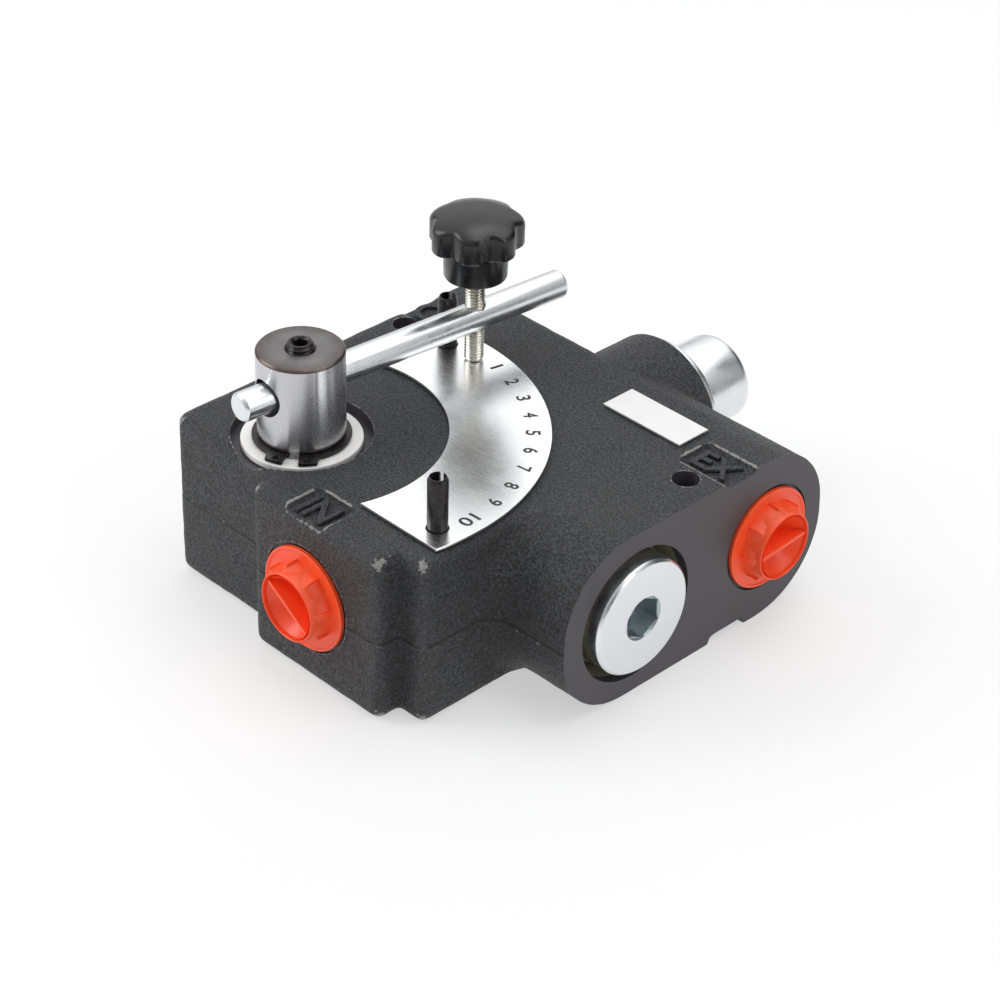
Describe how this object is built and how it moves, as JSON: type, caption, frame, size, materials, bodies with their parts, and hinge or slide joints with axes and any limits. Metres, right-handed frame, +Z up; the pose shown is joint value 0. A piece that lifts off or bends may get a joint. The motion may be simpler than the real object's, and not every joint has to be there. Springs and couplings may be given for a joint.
{
  "type": "rotary flow control valve",
  "caption": "Cast iron rotary flow control valve with a lever, numbered dial, stop pins, lock screw, compensator, relief valve and plugged threaded ports.",
  "frame": {"origin": "on the underside of the casting, under the lever's turning axis", "axes": "+Z up along the lever's axis; -Y out of the IN port; +X out of the EX port; +Y out of the relief valve"},
  "size_m": [0.149, 0.1784, 0.1096],
  "materials": {
    "cast_iron_black": "black paint over rough sand-cast iron",
    "ground_steel": "ground",
    "zinc": "bright zinc plated",
    "zinc_yellow": "yellowish zinc plated",
    "black_oxide": "black oxide",
    "black_plastic": "satin black",
    "white_nylon": "matte white",
    "dial_aluminium": "fine brushed",
    "label_white": "pale satin",
    "spring_steel": "dark oiled",
    "rubber_black": "matte",
    "orange_plastic": "satin orange-red"
  },
  "bodies": {
    "valve_body": {"body_casting": "cast_iron_black", "dial_plate": "dial_aluminium", "label_plate": "label_white", "stop_pin_low": "black_oxide", "stop_pin_high": "black_oxide", "thrust_washer": "white_nylon", "compensator_plug": "zinc", "plug_o_ring": "rubber_black", "relief_seat": "ground_steel", "relief_plug": "zinc", "relief_o_ring": "rubber_black", "relief_adjuster": "zinc", "relief_locknut": "zinc"},
    "lever": {"rotary_spool": "ground_steel", "spool_o_ring_1": "rubber_black", "spool_o_ring_2": "rubber_black", "circlip": "black_oxide", "hub_set_screw": "black_oxide", "lever_rod": "zinc"},
    "lock_screw_body": {"lock_screw": "zinc_yellow"},
    "lock_knob_body": {"lock_knob": "black_plastic"},
    "compensator": {"compensator_spool": "ground_steel", "compensator_spring": "spring_steel"},
    "relief": {"relief_poppet": "ground_steel", "relief_spring": "spring_steel"},
    "relief_cap_body": {"relief_cap": "zinc"},
    "in_plug": {"in_shipping_plug": "orange_plastic"},
    "ex_plug": {"ex_shipping_plug": "orange_plastic"},
    "cf_plug": {"cf_shipping_plug": "orange_plastic"}
  },
  "joints": [
    {"name": "lever_turn", "type": "hinge", "parent": "valve_body", "child": "lever", "pos_m": [0, 0, 0.071], "axis": [0, 0, 1], "range_deg": [-83.4, 3.4]},
    {"name": "lock_lift", "type": "slide", "parent": "lever", "child": "lock_screw_body", "axis": [0, 0, 1], "range_m": [0, 0.01]},
    {"name": "lock_turn", "type": "hinge", "parent": "lock_screw_body", "child": "lock_knob_body", "pos_m": [0.00557, 0.06366, 0.1], "axis": [0, 0, 1], "range_deg": [0, 3600]},
    {"name": "compensator_slide", "type": "slide", "parent": "valve_body", "child": "compensator", "axis": [1, 0, 0], "range_m": [0, 0.008], "stiffness_N_per_m": 5000, "springref_m": -0.004, "deforming": ["compensator_spring"]},
    {"name": "relief_slide", "type": "slide", "parent": "valve_body", "child": "relief", "axis": [0, 1, 0], "range_m": [0, 0.004], "stiffness_N_per_m": 8000, "springref_m": -0.002, "deforming": ["relief_spring"]},
    {"name": "relief_cap_off", "type": "slide", "parent": "valve_body", "child": "relief_cap_body", "axis": [0, 1, 0], "range_m": [0, 0.025]},
    {"name": "in_plug_out", "type": "slide", "parent": "valve_body", "child": "in_plug", "axis": [0, -1, 0], "range_m": [0, 0.02]},
    {"name": "ex_plug_out", "type": "slide", "parent": "valve_body", "child": "ex_plug", "axis": [1, 0, 0], "range_m": [0, 0.02]},
    {"name": "cf_plug_out", "type": "slide", "parent": "valve_body", "child": "cf_plug", "axis": [-1, 0, 0], "range_m": [0, 0.02]}
  ],
  "couplings": [
    {"joint": "lock_turn", "follows": "lock_lift", "rad_per_m": 6283.2}
  ]
}
